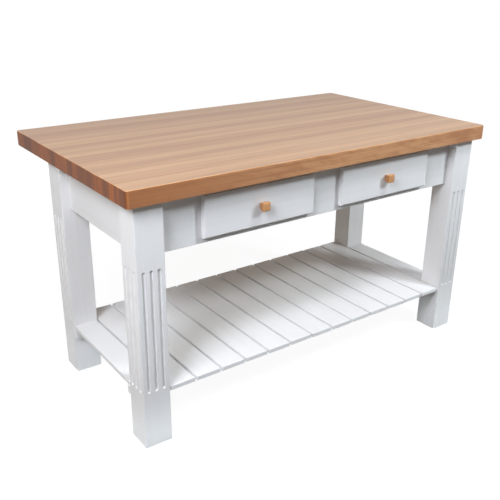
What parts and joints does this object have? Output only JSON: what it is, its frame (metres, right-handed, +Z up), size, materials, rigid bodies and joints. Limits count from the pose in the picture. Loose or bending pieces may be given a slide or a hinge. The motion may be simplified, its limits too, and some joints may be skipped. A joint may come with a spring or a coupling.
{
  "type": "butcher block table",
  "caption": "Kitchen work table with a solid wood block top, fluted square legs, overlay drawers with square wooden knobs and a slatted lower shelf.",
  "frame": {"origin": "on the floor, below the middle of the block top", "axes": "+X along the table to the right as seen from the drawers' side, the drawers face -Y, +Z up"},
  "size_m": [1.575, 0.912, 0.895],
  "materials": {
    "block_top_maple": "edge grain maple block, oiled",
    "white_paint": "brushed satin white paint on wood",
    "knob_maple": "oiled maple",
    "drawer_box_wood": "bare birch",
    "fastener_steel": "zinc plated"
  },
  "bodies": {
    "table": {"block_top": "block_top_maple", "front_left_leg": "white_paint", "front_right_leg": "white_paint", "back_left_leg": "white_paint", "back_right_leg": "white_paint", "front_apron": "white_paint", "back_apron": "white_paint", "left_apron": "white_paint", "right_apron": "white_paint", "front_left_corner_block": "drawer_box_wood", "front_right_corner_block": "drawer_box_wood", "back_left_corner_block": "drawer_box_wood", "back_right_corner_block": "drawer_box_wood", "corner_bolts": "fastener_steel", "corner_nuts": "fastener_steel", "top_brackets": "fastener_steel", "bracket_screws": "fastener_steel", "left_drawer_guide_a": "drawer_box_wood", "left_drawer_guide_b": "drawer_box_wood", "right_drawer_guide_a": "drawer_box_wood", "right_drawer_guide_b": "drawer_box_wood", "left_shelf_rail": "white_paint", "right_shelf_rail": "white_paint", "front_shelf_bearer": "white_paint", "middle_shelf_bearer": "white_paint", "back_shelf_bearer": "white_paint", "shelf_cleats": "white_paint", "slat_screws": "fastener_steel", "left_end_slat": "white_paint", "right_end_slat": "white_paint", "shelf_slat_1": "white_paint", "shelf_slat_2": "white_paint", "shelf_slat_3": "white_paint", "shelf_slat_4": "white_paint", "shelf_slat_5": "white_paint", "shelf_slat_6": "white_paint", "shelf_slat_7": "white_paint", "shelf_slat_8": "white_paint", "shelf_slat_9": "white_paint", "shelf_slat_10": "white_paint", "shelf_slat_11": "white_paint", "shelf_slat_12": "white_paint", "shelf_slat_13": "white_paint"},
    "left_drawer": {"left_drawer_face": "white_paint", "left_drawer_box_front": "drawer_box_wood", "left_drawer_side_a": "drawer_box_wood", "left_drawer_side_b": "drawer_box_wood", "left_drawer_box_back": "drawer_box_wood", "left_drawer_bottom": "drawer_box_wood", "left_drawer_knob": "knob_maple", "left_drawer_screws": "fastener_steel"},
    "right_drawer": {"right_drawer_face": "white_paint", "right_drawer_box_front": "drawer_box_wood", "right_drawer_side_a": "drawer_box_wood", "right_drawer_side_b": "drawer_box_wood", "right_drawer_box_back": "drawer_box_wood", "right_drawer_bottom": "drawer_box_wood", "right_drawer_knob": "knob_maple", "right_drawer_screws": "fastener_steel"}
  },
  "joints": [
    {"name": "left_drawer_slide", "type": "slide", "parent": "table", "child": "left_drawer", "axis": [0, -1, 0], "range_m": [0, 0.38]},
    {"name": "right_drawer_slide", "type": "slide", "parent": "table", "child": "right_drawer", "axis": [0, -1, 0], "range_m": [0, 0.38]}
  ]
}
